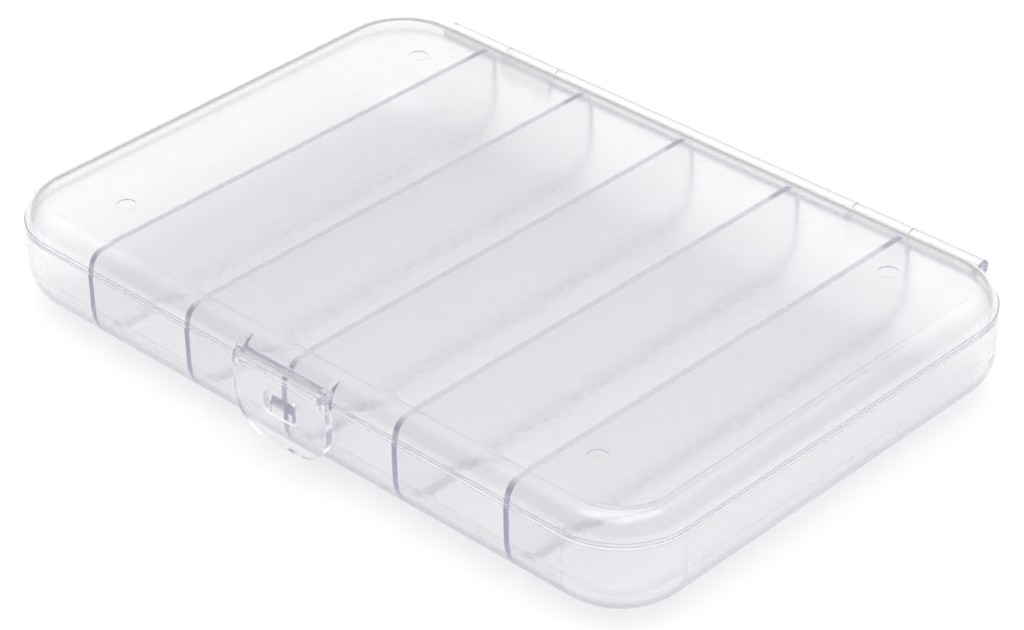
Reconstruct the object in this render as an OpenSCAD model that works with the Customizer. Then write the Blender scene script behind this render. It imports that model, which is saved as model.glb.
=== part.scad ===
// Slim clear fly box: a shallow tray with moulded-in dividers, a hinged lid,
// two steel hinge pins and a pivoting front latch.
//
// Frame: millimetres, +Z up. X runs along the long side, the latch faces -Y and
// the hinge faces +Y. The origin is the middle of the tray's underside.

/* [Body] */
// Length of the body along the hinge
body_l = 205; // [190:1:225]
// Depth of the body, without latch and hinge
body_w = 138; // [124:1:160]
// Height of the tray, from its underside to the seam
tray_h = 21; // [20:0.5:30]
// Height of the lid, from the seam to its top
lid_h = 7; // [6.6:0.1:9]
// Radius of the upright corners
corner_r = 19; // [16:0.5:24]
// Rounding of the tray's lower edge
foot_r = 11.5; // [7:0.5:12]
// Rounding of the lid's upper edge
brow_r = 6; // [4:0.5:6.5]

/* [Walls] */
// Thickness of the tray's side walls
tray_t = 1.8; // [1.4:0.1:2.2]
// Thickness of the tray's floor
floor_t = 2.2; // [1.4:0.1:3]
// Thickness of the lid's wall and roof
lid_t = 1.5; // [1.3:0.1:1.6]
// Rounding where the tray's floor meets its outer walls, inside
scoop_r = 9.5; // [6:0.5:11]
// Gap between the tray's rim and the lid's rim
seam_gap = 0.1; // [0.05:0.05:0.2]
// Height of the lip round the lid's rim
lip_h = 1.6; // [1:0.1:2.5]
// How far the lip stands out from the lid's wall
lip_out = 0.15; // [0.1:0.05:0.3]

/* [Dividers] */
// Number of dividers across the tray
divider_n = 5; // [2:1:7]
// Thickness of a divider
divider_t = 1.6; // [1.2:0.1:2.4]
// How much wider the two end compartments are than the others
end_extra = 0.55; // [0:0.05:2]
// Height of the dividers above the seam
divider_rise = 4.2; // [2:0.1:4.4]
// Distance of a divider's upper part from the outside of the front and back
divider_inset = 1.9; // [1.9:0.1:3.2]
// Rounding of a divider's upper corners
divider_r = 3.4; // [2.5:0.1:4]
// Fillet where a divider meets the floor
divider_fillet = 2.2; // [0.5:0.1:3]

/* [Hinge] */
// Radius of the hinge barrels
barrel_r = 2.3; // [2:0.1:2.8]
// Running gap between a barrel and the wall that it turns past
barrel_gap = 0.3; // [0.2:0.05:0.5]
// Height of the hinge axis above the seam
axis_rise = 0.9; // [0.4:0.1:1.2]
// Distance of the hinge's ends from the ends of the body
hinge_inset = 16.5; // [12:0.5:30]
// Length of one tray knuckle
tray_knuckle_l = 16.8; // [10:0.2:20]
// Length of one lid knuckle
lid_knuckle_l = 20.4; // [10:0.2:22]
// Gap between neighbouring knuckles
knuckle_gap = 0.3; // [0.2:0.05:0.5]
// Drop of the tray knuckle's gusset below the barrel, at the wall
gusset_drop = 2.2; // [1:0.1:3]
// Radius of a hinge pin
pin_r = 0.35; // [0.3:0.05:0.6]
// Radial clearance of a pin in the tray's knuckles
pin_play = 0.05; // [0.02:0.01:0.1]
// Radial clearance of a pin where the lid's knuckle grips it
pin_grip = 0.01; // [0.01:0.01:0.02]
// How far a pin reaches into the tray's knuckle
pin_reach = 5; // [3:0.5:9]

/* [Latch] */
// Width of the latch
latch_w = 30; // [24:1:40]
// Thickness of the latch plate
latch_t = 1.8; // [1.4:0.1:2.2]
// Gap between the latch plate and the tray
latch_gap = 0.3; // [0.2:0.05:0.5]
// Height of the latch's lower edge above the tray's underside
latch_z = 5.1; // [3:0.1:6]
// Rounding of the latch's lower corners
latch_r = 9.5; // [4:0.5:10]
// Height of the latch's pivot above the seam
pivot_rise = 3.2; // [3:0.05:3.4]
// Radius of the latch's barrel
latch_barrel_r = 1.6; // [1.5:0.05:1.7]
// Radius of the latch's trunnions
trunnion_r = 0.6; // [0.5:0.05:0.65]
// Length of one trunnion
trunnion_l = 1.2; // [0.8:0.1:1.4]
// Radial clearance of a trunnion in its ear
trunnion_play = 0.05; // [0.02:0.01:0.1]
// Thickness of one ear beside the latch
ear_t = 2; // [1.9:0.1:3.5]
// Radius of the ears' rounded front
ear_r = 5.3; // [5:0.05:5.8]
// Height of the middle of that rounding above the seam
ear_rise = 0.9; // [0.6:0.05:1.2]
// Gap between moving latch faces and the lid
latch_play = 0.3; // [0.2:0.05:0.4]

/* [Catch] */
// Width of the window in the latch
window_w = 10.6; // [8:0.2:16]
// Height of the window
window_h = 6; // [5:0.2:7]
// Height of the window's lower edge above the latch's lower edge
window_rise = 7.3; // [6.8:0.1:7.8]
// Rounding of the window's corners
window_r = 1.4; // [0.5:0.1:2]
// Width of the catch that stands in the window
catch_w = 7.4; // [4:0.2:7.6]
// How far the catch stands out from the tray
catch_out = 1.7; // [1:0.1:1.8]

/* [Moulding marks] */
// Radius of the round ejector marks
mark_r = 2.5; // [1.5:0.1:3]
// Depth of the ejector marks
mark_d = 0.3; // [0.2:0.05:0.5]
// Distance of the lid's marks in from its ends
mark_in_x = 26.5; // [22:0.5:40]
// Distance of the lid's marks in from its front and back
mark_in_y = 20; // [14:0.5:30]

/* [Hidden] */
$fn = 96;
// A cut reaches this far past the face that it opens
past = 1;
// Upper surface of the closed box
top_z = tray_h + lid_h;
// Level of the lid's rim
rim_z = tray_h + seam_gap;
// Distance from one divider to the next
pitch = (body_l - 2 * tray_t + divider_t - 2 * end_extra) / (divider_n + 1);
// Level of the dividers' upper edges
divider_z = tray_h + divider_rise;
// Hinge axis
hinge_y = body_w / 2 + barrel_gap + barrel_r;
hinge_z = tray_h + axis_rise;
// Knuckles, from the hinge's ends inwards to the lid's middle rail
hinge_end_x = body_l / 2 - hinge_inset;
lid_knuckle_x = hinge_end_x - lid_knuckle_l;
tray_knuckle_x = lid_knuckle_x - knuckle_gap - tray_knuckle_l;
rail_half = tray_knuckle_x - knuckle_gap;
// Height of the webs that carry the lid's barrels, as a share of the barrel's radius
web_share = 0.8;
// A pin stops this far inside the outer end of its bore
pin_inset = 0.5;
pin_x = lid_knuckle_x - knuckle_gap - pin_reach;
pin_l = hinge_end_x - pin_inset - pin_x;
// Chamfer of the pin's ends
pin_chamfer = pin_r / 3;
// Latch pivot: the barrel's front lies flush with the plate's front
latch_front = body_w / 2 + latch_gap + latch_t;
pivot_y = -(latch_front - latch_barrel_r);
pivot_z = tray_h + pivot_rise;
// The latch's neck and barrel turn between the ears
neck_half = latch_w / 2 - ear_t - latch_play;
ear_in = latch_w / 2 - ear_t;
// Groove in the lid's front that the latch's barrel turns in
pocket_r = latch_barrel_r + latch_play;
// The shoulders under the ears start outside this radius round the pivot
shoulder_r = norm([latch_front + pivot_y, pivot_rise]) + latch_play;
window_z = latch_z + window_rise;
// Clearance of the catch to the window's lower and upper edge
catch_foot = 0.4;
catch_head = 0.9;
catch_z = window_z + catch_foot;
catch_h = window_h - catch_foot - catch_head;
// Share of the catch's height that slopes, so that the window rides over it
catch_slope = 0.55;

// Profile from an axis outwards: reach wide, high tall, lower outer corner rounded
module edge_section(reach, high, round_r)
    difference() {
        square([reach, high]);
        if (round_r > 0)
            translate([reach - round_r, -past])
                difference() {
                    square([round_r + past, round_r + past]);
                    translate([0, round_r + past]) circle(round_r);
                }
    }

// Block with round upright corners and a rounded lower edge
module rounded_block(long, wide, high, r, round_r) {
    straight_x = long / 2 - r;
    straight_y = wide / 2 - r;
    for (sx = [0, 1], sy = [0, 1])
        mirror([sx, 0, 0]) mirror([0, sy, 0])
            translate([straight_x, straight_y, 0])
                rotate_extrude(angle = 90) edge_section(r, high, round_r);
    for (sx = [0, 1])
        mirror([sx, 0, 0])
            translate([straight_x, straight_y, 0])
                rotate([90, 0, 0])
                    linear_extrude(2 * straight_y) edge_section(r, high, round_r);
    rotate([90, 0, 90])
        linear_extrude(2 * straight_x, center = true)
            for (sy = [0, 1])
                mirror([sy, 0])
                    edge_section(wide / 2, high, round_r);
}

// Cylinder along X, from x0 over the length long
module rod_x(x0, long, r)
    translate([x0, 0, 0]) rotate([0, 90, 0]) cylinder(r = r, h = long);

// Round ejector marks, sunk into the surface at the level z
module ejector_marks(z)
    for (sx = [-1, 1], sy = [-1, 1])
        translate([sx * (body_l / 2 - mark_in_x), sy * (body_w / 2 - mark_in_y), z])
            cylinder(r = mark_r, h = 2 * mark_d, center = true);

// ---------------------------------------------------------------- tray

// Place of divider number i, counted from 1 at the -X end
function divider_x(i) = (i - (divider_n + 1) / 2) * pitch;

// Half of a compartment's section, from its middle to the divider at the distance reach,
// or past the tray's end wall where there is no divider on that side
module half_section(reach, to_wall)
    if (to_wall)
        square([body_l, top_z]);
    else
        edge_section(reach - divider_t / 2, top_z, divider_fillet);

module compartments()
    intersection() {
        translate([0, 0, floor_t])
            rounded_block(body_l - 2 * tray_t, body_w - 2 * tray_t, top_z, corner_r - tray_t, scoop_r);
        rotate([90, 0, 0])
            linear_extrude(body_w, center = true)
                for (i = [0 : divider_n])
                    translate([divider_x(i + 0.5), floor_t]) {
                        half_section(pitch / 2, i == divider_n);
                        mirror([1, 0]) half_section(pitch / 2, i == 0);
                    }
    }

// Side view of the part of a divider that stands above the seam
module divider_profile() {
    reach = body_w / 2 - divider_inset;
    difference() {
        translate([-reach, tray_h - past]) square([2 * reach, divider_rise + past]);
        for (s = [0, 1])
            mirror([s, 0])
                translate([reach - divider_r, divider_z - divider_r])
                    difference() {
                        square(divider_r + past);
                        circle(divider_r);
                    }
    }
}

// Side view of the gusset that carries a tray knuckle, below the seam
module gusset_profile() {
    wall_y = body_w / 2;
    low_z = hinge_z - barrel_r - gusset_drop;
    // The gusset's lower face runs into the barrel's lower half
    polygon([[wall_y - past, tray_h], [wall_y - past, low_z], [wall_y, low_z],
             [hinge_y, hinge_z - barrel_r / 2], [hinge_y, tray_h]]);
}

// Barrel and gusset of one tray knuckle, on the +X side
module tray_knuckle() {
    translate([0, hinge_y, hinge_z]) rod_x(tray_knuckle_x, tray_knuckle_l, barrel_r);
    translate([tray_knuckle_x, 0, 0])
        rotate([90, 0, 90]) linear_extrude(tray_knuckle_l) gusset_profile();
}

// Catch on the tray's front that the latch's window closes over
module catch_lug() {
    depth = catch_out + past;
    translate([-catch_w / 2, -body_w / 2 + past, catch_z])
        rotate([90, 0, 90])
            linear_extrude(catch_w)
                polygon([[0, 0], [-depth, 0], [-depth, catch_h * (1 - catch_slope)], [-past, catch_h], [0, catch_h]]);
}

module tray()
    color([0.90, 0.92, 0.95, 0.45])
        difference() {
            union() {
                rounded_block(body_l, body_w, tray_h, corner_r, foot_r);
                rotate([90, 0, 90])
                    for (i = [1 : divider_n])
                        translate([0, 0, divider_x(i)])
                            linear_extrude(divider_t, center = true) divider_profile();
                for (s = [0, 1])
                    mirror([s, 0, 0]) tray_knuckle();
                catch_lug();
            }
            compartments();
            for (s = [0, 1])
                mirror([s, 0, 0])
                    translate([0, hinge_y, hinge_z])
                        rod_x(tray_knuckle_x - past, tray_knuckle_l + 2 * past, pin_r + pin_play);
            ejector_marks(floor_t);
        }

// ----------------------------------------------------------------- lid

// Barrel and web of the lid over the stretch of X from x0
module lid_barrel(x0, long) {
    root_y = body_w / 2 - lid_t / 2;
    translate([0, hinge_y, hinge_z]) rod_x(x0, long, barrel_r);
    translate([x0, root_y, tray_h + barrel_gap])
        cube([long, hinge_y - root_y, web_share * barrel_r]);
}

// The closed lid's outer form: its brow up, and a lip round its rim
module lid_form() {
    translate([0, 0, top_z])
        mirror([0, 0, 1])
            rounded_block(body_l - 2 * lip_out, body_w - 2 * lip_out, top_z - rim_z,
                          corner_r - lip_out, brow_r);
    translate([0, 0, rim_z]) rounded_block(body_l, body_w, lip_h, corner_r, 0);
}

// Side view of an ear: rounded like the brow, and square at the seam
module ear_profile()
    intersection() {
        union() {
            translate([-latch_front + ear_r, tray_h + ear_rise]) circle(ear_r);
            translate([-latch_front, rim_z]) square([ear_r, ear_rise]);
        }
        translate([-latch_front, rim_z]) square([ear_r, lid_h]);
    }

module lid()
    color([0.91, 0.92, 0.96, 0.40])
        difference() {
            union() {
                lid_form();
                for (s = [0, 1])
                    mirror([s, 0, 0]) {
                        translate([ear_in, 0, 0])
                            rotate([90, 0, 90]) linear_extrude(ear_t) ear_profile();
                        lid_barrel(lid_knuckle_x, lid_knuckle_l);
                    }
                lid_barrel(-rail_half, 2 * rail_half);
            }
            translate([0, 0, top_z - lid_t])
                mirror([0, 0, 1])
                    rounded_block(body_l - 2 * lid_t, body_w - 2 * lid_t, lid_h + past,
                                  corner_r - lid_t, brow_r - lid_t);
            translate([0, pivot_y, pivot_z]) {
                rod_x(-ear_in, 2 * ear_in, pocket_r);
                rod_x(-ear_in - trunnion_l - latch_play, 2 * (ear_in + trunnion_l + latch_play),
                      trunnion_r + trunnion_play);
            }
            for (s = [0, 1])
                mirror([s, 0, 0])
                    translate([0, hinge_y, hinge_z])
                        rod_x(lid_knuckle_x - past, lid_knuckle_l + 2 * past, pin_r + pin_grip);
            ejector_marks(top_z - lid_t);
        }

// --------------------------------------------------------------- latch

// Front view of the latch plate, with rounded lower corners
module latch_outline()
    difference() {
        translate([-latch_w / 2, latch_z])
            square([latch_w, pivot_z - latch_z]);
        for (s = [0, 1])
            mirror([s, 0])
                translate([latch_w / 2 - latch_r, latch_z + latch_r])
                    difference() {
                        translate([0, -latch_r - past]) square(latch_r + past);
                        circle(latch_r);
                    }
    }

// Front view of the window
module window_outline()
    translate([-window_w / 2, window_z])
        difference() {
            square([window_w, window_h]);
            for (sx = [0, 1], sz = [0, 1])
                translate([sx * window_w, sz * window_h])
                    mirror([sx, 0]) mirror([0, sz])
                        difference() {
                            translate([-past, -past]) square(window_r + past);
                            translate([window_r, window_r]) circle(window_r);
                        }
        }

// Room for an ear beside the latch's neck, round the trunnion that stands in it
module shoulder_cut()
    difference() {
        rod_x(neck_half, latch_w, shoulder_r);
        rod_x(neck_half - past, ear_in + trunnion_l - neck_half + past, trunnion_r);
    }

module latch()
    color([0.91, 0.93, 0.97, 0.45])
        difference() {
            union() {
                translate([0, -latch_front + latch_t, 0])
                    rotate([90, 0, 0]) linear_extrude(latch_t) latch_outline();
                translate([0, pivot_y, pivot_z]) {
                    rod_x(-neck_half, 2 * neck_half, latch_barrel_r);
                    rod_x(-ear_in - trunnion_l, 2 * (ear_in + trunnion_l), trunnion_r);
                }
            }
            translate([0, -latch_front + latch_t + past, 0])
                rotate([90, 0, 0]) linear_extrude(latch_t + 2 * past) window_outline();
            for (s = [0, 1])
                mirror([s, 0, 0])
                    translate([0, pivot_y, pivot_z]) shoulder_cut();
        }

// ---------------------------------------------------------------- pins

// Half section of a pin along its axis, with chamfered ends
module pin_section()
    polygon([[0, 0], [pin_r - pin_chamfer, 0], [pin_r, pin_chamfer], [pin_r, pin_l - pin_chamfer],
             [pin_r - pin_chamfer, pin_l], [0, pin_l]]);

// Steel pin, on the +X side
module hinge_pin()
    color([0.55, 0.56, 0.58])
        translate([pin_x, hinge_y, hinge_z])
            rotate([0, 90, 0]) rotate_extrude() pin_section();

module left_hinge_pin() mirror([1, 0, 0]) hinge_pin();

module right_hinge_pin() hinge_pin();

tray();
lid();
latch();
left_hinge_pin();
right_hinge_pin();
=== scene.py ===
import math

import bpy
from bpy.props import FloatProperty, FloatVectorProperty, PointerProperty
from mathutils import Matrix, Vector

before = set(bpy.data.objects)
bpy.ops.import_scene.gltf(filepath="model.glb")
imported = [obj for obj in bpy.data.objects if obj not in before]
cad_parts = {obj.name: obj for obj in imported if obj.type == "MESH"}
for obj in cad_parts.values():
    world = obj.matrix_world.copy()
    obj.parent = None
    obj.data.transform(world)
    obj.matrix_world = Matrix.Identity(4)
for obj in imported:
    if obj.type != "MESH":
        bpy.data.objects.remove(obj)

bl_info = {
    "name": "Clear Fly Box",
    "version": (1, 0, 0),
    "blender": (4, 5, 0),
    "location": "View3D > Sidebar > Fly Box",
    "description": "Dresses a slim clear fly box and sets it on a pale stage",
    "category": "Object",
}

# The photograph's picture width, in pixels
PICTURE_W = 1024
# Width of the camera's sensor, in millimetres
SENSOR_W = 36.0
# Nearest and farthest distance that the camera sees, in metres
CLIP_NEAR, CLIP_FAR = 0.01, 20.0
# Range of a noise's values that carries nearly all of its surface
NOISE_LOW, NOISE_HIGH = 0.3, 0.7
# Size of the roughness grain of moulded plastic, in metres
GRAIN_SIZE = 0.0015
# Octaves of the grain, of the moulding ripples and of the steel's lines
GRAIN_DETAIL, RIPPLE_DETAIL, LINE_DETAIL = 4.0, 1.0, 2.0
# Share by which the steel's roughness runs above and below its mean
STEEL_SPREAD = 0.3
# The steel's lines run along X, many times longer than they are wide
LINE_STRETCH = (0.02, 1.0, 1.0)
# Half the side of the square floor, and its level just under the box, in metres
FLOOR_HALF, FLOOR_Z = 6.0, -0.0001
# Colour of the matt floor
FLOOR_COLOUR = (0.85, 0.85, 0.85, 1.0)
# Light of its own that the floor shows, so that it reads white round the box
FLOOR_GLOW = 0.22
# The soft lamp over the box: its height and side in metres, and its power in watts
LAMP_HEIGHT, LAMP_SIDE, LAMP_POWER = 1.4, 1.2, 8.0
# Where the soft light mostly comes from: overhead, a little from the back left
KEY_SIDE = (-0.22, 0.25, 0.94)
# The sky away from the key side, between, and on the key side: how far towards the
# key side that patch lies, and how bright it is
SKY_AWAY, SKY_MIDDLE, SKY_KEY = (0.0, 0.37), (0.6, 0.50), (0.9, 1.15)
# How often a ray of light may turn or pass a surface
LIGHT_BOUNCES = 120


# ------------------------------------------------------------------ settings


class FlyBoxPlastic(bpy.types.PropertyGroup):
    tint: FloatVectorProperty(
        name="Tint",
        description="Colour that each surface of the plastic leaves in the light",
        subtype="COLOR",
        size=3,
        min=0.0,
        max=1.0,
        default=(0.99, 0.99, 0.992),
    )
    depth_tint: FloatVectorProperty(
        name="Depth tint",
        description="Colour of the light that runs a long way inside the plastic",
        subtype="COLOR",
        size=3,
        min=0.0,
        max=1.0,
        default=(0.12, 0.15, 0.73),
    )
    depth_density: FloatProperty(
        name="Depth density",
        description="How fast the plastic takes light away, per metre",
        default=4.2,
        min=0.0,
    )
    ior: FloatProperty(
        name="Index of refraction",
        description="Index of refraction of clear styrene",
        default=1.58,
        min=1.0,
        max=2.0,
    )
    shade: FloatVectorProperty(
        name="Shade",
        description="Colour that each surface leaves in the light that falls through it",
        subtype="COLOR",
        size=3,
        min=0.0,
        max=1.0,
        default=(0.915, 0.916, 0.92),
    )
    roughness: FloatProperty(
        name="Roughness",
        description="Mean roughness of the tray's and the lid's moulded surface",
        default=0.15,
        min=0.0,
        max=1.0,
        subtype="FACTOR",
    )
    latch_roughness: FloatProperty(
        name="Latch roughness",
        description="Mean roughness of the latch's polished surface",
        default=0.08,
        min=0.0,
        max=1.0,
        subtype="FACTOR",
    )
    grain: FloatProperty(
        name="Grain",
        description="How far the roughness runs above and below its mean, as a share of it",
        default=0.25,
        min=0.0,
        max=1.0,
        subtype="FACTOR",
    )
    ripple_size: FloatProperty(
        name="Ripple size",
        description="Size of the faint ripples that moulding leaves in a surface",
        default=0.011,
        min=0.001,
        subtype="DISTANCE",
    )
    ripple_depth: FloatProperty(
        name="Ripple depth",
        description="Depth of those ripples",
        default=0.00001,
        min=0.0,
        subtype="DISTANCE",
    )


class FlyBoxSteel(bpy.types.PropertyGroup):
    colour: FloatVectorProperty(
        name="Colour",
        description="Colour of the bare steel wire",
        subtype="COLOR",
        size=3,
        min=0.0,
        max=1.0,
        default=(0.30, 0.31, 0.33),
    )
    roughness: FloatProperty(
        name="Roughness",
        description="Mean roughness of the drawn wire",
        default=0.35,
        min=0.0,
        max=1.0,
        subtype="FACTOR",
    )
    line_size: FloatProperty(
        name="Drawing line",
        description="Width of the fine lines that drawing leaves along the wire",
        default=0.00006,
        min=0.00001,
        subtype="DISTANCE",
    )
    line_depth: FloatProperty(
        name="Drawing line depth",
        description="Depth of those lines",
        default=0.000004,
        min=0.0,
        subtype="DISTANCE",
    )


class FlyBoxStage(bpy.types.PropertyGroup):
    azimuth: FloatProperty(
        name="Azimuth",
        description="Bearing of the camera round the box",
        default=math.radians(44.409),
        subtype="ANGLE",
    )
    elevation: FloatProperty(
        name="Elevation",
        description="Height of the camera over the horizon",
        default=math.radians(33.183),
        subtype="ANGLE",
    )
    roll: FloatProperty(
        name="Roll",
        description="Tilt of the camera about its line of sight",
        default=math.radians(-1.143),
        subtype="ANGLE",
    )
    place: FloatVectorProperty(
        name="Camera place",
        description="Place of the camera in the box's frame",
        subtype="TRANSLATION",
        size=3,
        default=(0.48367, -0.49026, 0.45625),
    )
    focal_px: FloatProperty(
        name="Focal length in pixels",
        description="Focal length, in pixels of the photograph's width",
        default=3481.97,
        min=100.0,
    )


# ----------------------------------------------------------------- materials


def new_material(name):
    """An empty node material with its output."""
    material = bpy.data.materials.new(name)
    material.use_nodes = True
    tree = material.node_tree
    tree.nodes.clear()
    output = tree.nodes.new("ShaderNodeOutputMaterial")
    return material, tree, output


def add_node(tree, kind, **settings):
    """A new node of that kind, with the given settings."""
    node = tree.nodes.new(kind)
    for name, value in settings.items():
        setattr(node, name, value)
    return node


def object_noise(tree, size, detail, stretch=(1.0, 1.0, 1.0)):
    """Noise in the piece's own coordinates, with features of about size metres."""
    place = add_node(tree, "ShaderNodeTexCoord")
    scale = add_node(tree, "ShaderNodeMapping")
    scale.inputs["Scale"].default_value = stretch
    noise = add_node(tree, "ShaderNodeTexNoise")
    noise.inputs["Scale"].default_value = 1.0 / size
    noise.inputs["Detail"].default_value = detail
    tree.links.new(place.outputs["Object"], scale.inputs["Vector"])
    tree.links.new(scale.outputs["Vector"], noise.inputs["Vector"])
    return noise


def vary_roughness(tree, body, noise, mean, spread):
    """Let the noise move the roughness of body up and down round its mean."""
    span = add_node(tree, "ShaderNodeMapRange")
    span.inputs["From Min"].default_value = NOISE_LOW
    span.inputs["From Max"].default_value = NOISE_HIGH
    span.inputs["To Min"].default_value = mean * (1.0 - spread)
    span.inputs["To Max"].default_value = mean * (1.0 + spread)
    tree.links.new(noise.outputs["Fac"], span.inputs["Value"])
    tree.links.new(span.outputs["Result"], body.inputs["Roughness"])


def raise_bump(tree, body, noise, depth):
    """Let the noise raise the surface of body by up to depth metres."""
    bump = add_node(tree, "ShaderNodeBump")
    bump.inputs["Strength"].default_value = 1.0
    bump.inputs["Distance"].default_value = depth
    tree.links.new(noise.outputs["Fac"], bump.inputs["Height"])
    tree.links.new(bump.outputs["Normal"], body.inputs["Normal"])


def clear_plastic(name, roughness):
    """Moulded clear styrene: glass-clear, with a blue-violet tint along its edges."""
    look = bpy.context.scene.flybox_plastic
    material, tree, output = new_material(name)
    link = tree.links.new
    body = add_node(tree, "ShaderNodeBsdfPrincipled")
    body.inputs["Base Color"].default_value = (*look.tint, 1.0)
    body.inputs["IOR"].default_value = look.ior
    body.inputs["Transmission Weight"].default_value = 1.0
    grain = object_noise(tree, GRAIN_SIZE, GRAIN_DETAIL)
    vary_roughness(tree, body, grain, roughness, look.grain)
    ripples = object_noise(tree, look.ripple_size, RIPPLE_DETAIL)
    raise_bump(tree, body, ripples, look.ripple_depth)
    # Lamps and soft light pass straight through instead of as caustics
    window = add_node(tree, "ShaderNodeBsdfTransparent")
    window.inputs["Color"].default_value = (*look.shade, 1.0)
    path = add_node(tree, "ShaderNodeLightPath")
    passes = add_node(tree, "ShaderNodeMath", operation="MAXIMUM")
    link(path.outputs["Is Shadow Ray"], passes.inputs[0])
    link(path.outputs["Is Diffuse Ray"], passes.inputs[1])
    mix = add_node(tree, "ShaderNodeMixShader")
    link(passes.outputs[0], mix.inputs["Fac"])
    link(body.outputs["BSDF"], mix.inputs[1])
    link(window.outputs["BSDF"], mix.inputs[2])
    link(mix.outputs["Shader"], output.inputs["Surface"])
    depth = add_node(tree, "ShaderNodeVolumeAbsorption")
    depth.inputs["Color"].default_value = (*look.depth_tint, 1.0)
    depth.inputs["Density"].default_value = look.depth_density
    link(depth.outputs["Volume"], output.inputs["Volume"])
    return material


def pin_steel():
    """Drawn steel wire, with fine lines along it."""
    look = bpy.context.scene.flybox_steel
    material, tree, output = new_material("pin_steel")
    body = add_node(tree, "ShaderNodeBsdfPrincipled")
    body.inputs["Base Color"].default_value = (*look.colour, 1.0)
    body.inputs["Metallic"].default_value = 1.0
    lines = object_noise(tree, look.line_size, LINE_DETAIL, stretch=LINE_STRETCH)
    vary_roughness(tree, body, lines, look.roughness, STEEL_SPREAD)
    raise_bump(tree, body, lines, look.line_depth)
    tree.links.new(body.outputs["BSDF"], output.inputs["Surface"])
    return material


def dress(piece, material):
    """Give the piece that one material."""
    piece.data.materials.clear()
    piece.data.materials.append(material)


# --------------------------------------------------------------------- stage


def camera_turn(azimuth, elevation, roll):
    """Rotation of a camera at azimuth and elevation, rolled about its line of sight."""
    right = Vector((math.cos(azimuth), math.sin(azimuth), 0.0))
    back = Vector(
        (
            math.sin(azimuth) * math.cos(elevation),
            -math.cos(azimuth) * math.cos(elevation),
            math.sin(elevation),
        )
    )
    up = back.cross(right)
    level = Matrix((right, up, back)).transposed()
    return level @ Matrix.Rotation(roll, 3, "Z")


def add_camera(look):
    """The camera of the photograph, from the stage's settings."""
    data = bpy.data.cameras.new("camera")
    data.sensor_width = SENSOR_W
    data.lens = data.sensor_width * look.focal_px / PICTURE_W
    data.clip_start, data.clip_end = CLIP_NEAR, CLIP_FAR
    camera = bpy.data.objects.new("camera", data)
    turn = camera_turn(look.azimuth, look.elevation, look.roll)
    camera.matrix_world = Matrix.Translation(look.place) @ turn.to_4x4()
    bpy.context.scene.collection.objects.link(camera)
    bpy.context.scene.camera = camera


def floor_material():
    """Matt pale floor that looks white to the camera and keeps its shadows."""
    material, tree, output = new_material("stage_floor")
    link = tree.links.new
    matt = add_node(tree, "ShaderNodeBsdfDiffuse")
    matt.inputs["Color"].default_value = FLOOR_COLOUR
    glow = add_node(tree, "ShaderNodeEmission")
    glow.inputs["Color"].default_value = (1.0, 1.0, 1.0, 1.0)
    glow.inputs["Strength"].default_value = FLOOR_GLOW
    both = add_node(tree, "ShaderNodeAddShader")
    link(matt.outputs[0], both.inputs[0])
    link(glow.outputs[0], both.inputs[1])
    path = add_node(tree, "ShaderNodeLightPath")
    seen = add_node(tree, "ShaderNodeMath", operation="MAXIMUM")
    link(path.outputs["Is Camera Ray"], seen.inputs[0])
    link(path.outputs["Is Glossy Ray"], seen.inputs[1])
    seen_all = add_node(tree, "ShaderNodeMath", operation="MAXIMUM")
    link(seen.outputs[0], seen_all.inputs[0])
    link(path.outputs["Is Transmission Ray"], seen_all.inputs[1])
    mix = add_node(tree, "ShaderNodeMixShader")
    link(seen_all.outputs[0], mix.inputs["Fac"])
    link(matt.outputs[0], mix.inputs[1])
    link(both.outputs[0], mix.inputs[2])
    link(mix.outputs[0], output.inputs["Surface"])
    return material


def add_floor():
    """A plain square floor under the box."""
    mesh = bpy.data.meshes.new("stage_floor")
    sides = ((-1, -1), (1, -1), (1, 1), (-1, 1))
    corners = [(x * FLOOR_HALF, y * FLOOR_HALF, FLOOR_Z) for x, y in sides]
    mesh.from_pydata(corners, [], [(0, 1, 2, 3)])
    floor = bpy.data.objects.new("stage_floor", mesh)
    bpy.context.scene.collection.objects.link(floor)
    dress(floor, floor_material())


def add_lamp(name, place, aim, size, power):
    """A soft rectangular lamp at place that points at aim."""
    data = bpy.data.lights.new(name, "AREA")
    data.shape = "RECTANGLE"
    data.size, data.size_y = size
    data.energy = power
    lamp = bpy.data.objects.new(name, data)
    lamp.location = place
    lamp.rotation_mode = "QUATERNION"
    lamp.rotation_quaternion = (Vector(aim) - Vector(place)).to_track_quat("-Z", "Y")
    bpy.context.scene.collection.objects.link(lamp)


def studio_world():
    """Soft room light: bright on the key side, dimmer away from it."""
    world = bpy.data.worlds.new("studio")
    bpy.context.scene.world = world
    world.use_nodes = True
    tree = world.node_tree
    tree.nodes.clear()
    link = tree.links.new
    place = add_node(tree, "ShaderNodeTexCoord")
    facing = add_node(tree, "ShaderNodeVectorMath", operation="DOT_PRODUCT")
    link(place.outputs["Generated"], facing.inputs[0])
    facing.inputs[1].default_value = Vector(KEY_SIDE).normalized()
    ramp = add_node(tree, "ShaderNodeValToRGB")
    link(facing.outputs["Value"], ramp.inputs["Fac"])
    low, high = ramp.color_ramp.elements
    low.position, high.position = SKY_AWAY[0], SKY_KEY[0]
    low.color = (SKY_AWAY[1],) * 3 + (1.0,)
    high.color = (SKY_KEY[1],) * 3 + (1.0,)
    middle = ramp.color_ramp.elements.new(SKY_MIDDLE[0])
    middle.color = (SKY_MIDDLE[1],) * 3 + (1.0,)
    sky = add_node(tree, "ShaderNodeBackground")
    link(ramp.outputs["Color"], sky.inputs["Color"])
    sky.inputs["Strength"].default_value = 1.0
    output = add_node(tree, "ShaderNodeOutputWorld")
    link(sky.outputs[0], output.inputs["Surface"])


# ----------------------------------------------------------------- operators


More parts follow.
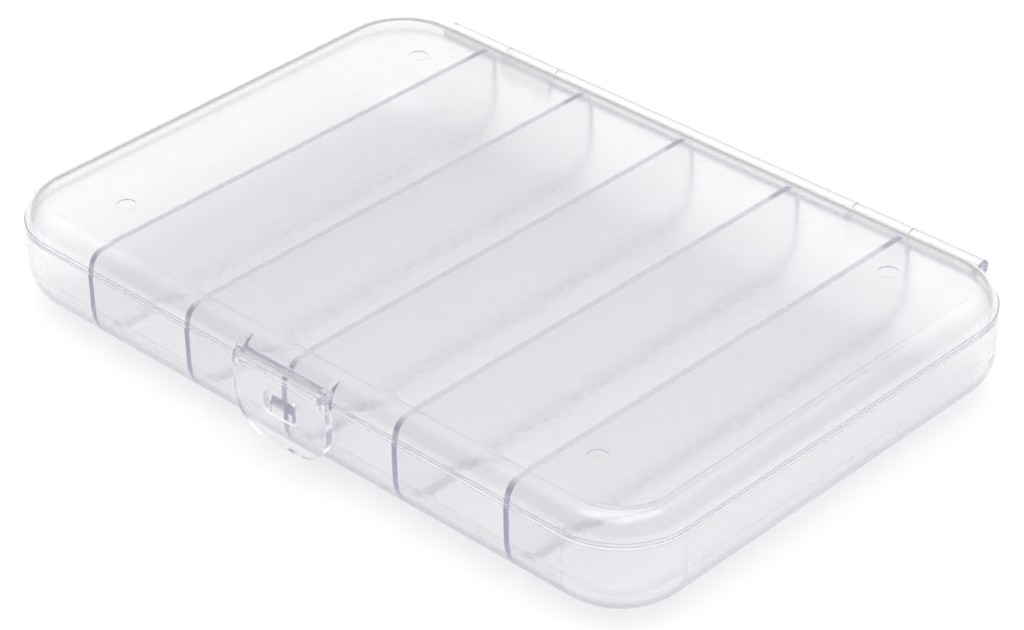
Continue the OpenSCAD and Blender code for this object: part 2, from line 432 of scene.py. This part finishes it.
class FLYBOX_OT_tray(bpy.types.Operator):
    """Dress the tray and its dividers in clear plastic"""

    bl_idname = "flybox.tray"
    bl_label = "Tray"

    def execute(self, context):
        look = context.scene.flybox_plastic
        dress(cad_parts["tray"], clear_plastic("clear_plastic", look.roughness))
        return {"FINISHED"}


class FLYBOX_OT_lid(bpy.types.Operator):
    """Dress the lid in clear plastic"""

    bl_idname = "flybox.lid"
    bl_label = "Lid"

    def execute(self, context):
        look = context.scene.flybox_plastic
        dress(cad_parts["lid"], clear_plastic("clear_plastic_lid", look.roughness))
        return {"FINISHED"}


class FLYBOX_OT_latch(bpy.types.Operator):
    """Dress the latch in clear plastic"""

    bl_idname = "flybox.latch"
    bl_label = "Latch"

    def execute(self, context):
        look = context.scene.flybox_plastic
        material = clear_plastic("clear_plastic_latch", look.latch_roughness)
        dress(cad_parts["latch"], material)
        return {"FINISHED"}


class FLYBOX_OT_hinge_pins(bpy.types.Operator):
    """Give the two hinge pins the look of drawn steel wire"""

    bl_idname = "flybox.hinge_pins"
    bl_label = "Hinge pins"

    def execute(self, context):
        for name in ("left_hinge_pin", "right_hinge_pin"):
            dress(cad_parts[name], pin_steel())
        return {"FINISHED"}


class FLYBOX_OT_stage(bpy.types.Operator):
    """Set the camera, the floor, the lamps and the world"""

    bl_idname = "flybox.stage"
    bl_label = "Stage"

    def execute(self, context):
        scene = context.scene
        add_camera(scene.flybox_stage)
        add_floor()
        above, middle = (0.0, 0.0, LAMP_HEIGHT), (0.0, 0.0, 0.0)
        add_lamp("overhead", above, middle, (LAMP_SIDE, LAMP_SIDE), LAMP_POWER)
        studio_world()
        # Light runs many times to and fro inside the clear walls and dividers
        scene.cycles.max_bounces = LIGHT_BOUNCES
        scene.cycles.glossy_bounces = LIGHT_BOUNCES
        scene.cycles.transmission_bounces = LIGHT_BOUNCES
        scene.cycles.transparent_max_bounces = LIGHT_BOUNCES
        scene.view_settings.view_transform = "Standard"
        return {"FINISHED"}


class FLYBOX_PT_panel(bpy.types.Panel):
    bl_label = "Fly Box"
    bl_space_type = "VIEW_3D"
    bl_region_type = "UI"
    bl_category = "Fly Box"

    def draw(self, context):
        layout = self.layout
        for operator in OPERATORS:
            layout.operator(operator.bl_idname)
        scene = context.scene
        for group in (scene.flybox_plastic, scene.flybox_steel, scene.flybox_stage):
            box = layout.box()
            for name in group.__annotations__:
                box.prop(group, name)


SETTINGS = (FlyBoxPlastic, FlyBoxSteel, FlyBoxStage)
OPERATORS = (
    FLYBOX_OT_stage,
    FLYBOX_OT_tray,
    FLYBOX_OT_lid,
    FLYBOX_OT_latch,
    FLYBOX_OT_hinge_pins,
)
CLASSES = (*SETTINGS, *OPERATORS, FLYBOX_PT_panel)


def register():
    for cls in CLASSES:
        bpy.utils.register_class(cls)
    bpy.types.Scene.flybox_plastic = PointerProperty(type=FlyBoxPlastic)
    bpy.types.Scene.flybox_steel = PointerProperty(type=FlyBoxSteel)
    bpy.types.Scene.flybox_stage = PointerProperty(type=FlyBoxStage)


def unregister():
    del bpy.types.Scene.flybox_stage
    del bpy.types.Scene.flybox_steel
    del bpy.types.Scene.flybox_plastic
    for cls in reversed(CLASSES):
        bpy.utils.unregister_class(cls)


def main():
    register()
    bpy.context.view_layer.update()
    bpy.ops.flybox.stage()
    bpy.ops.flybox.tray()
    bpy.ops.flybox.lid()
    bpy.ops.flybox.latch()
    bpy.ops.flybox.hinge_pins()


if __name__ == "__main__":
    main()
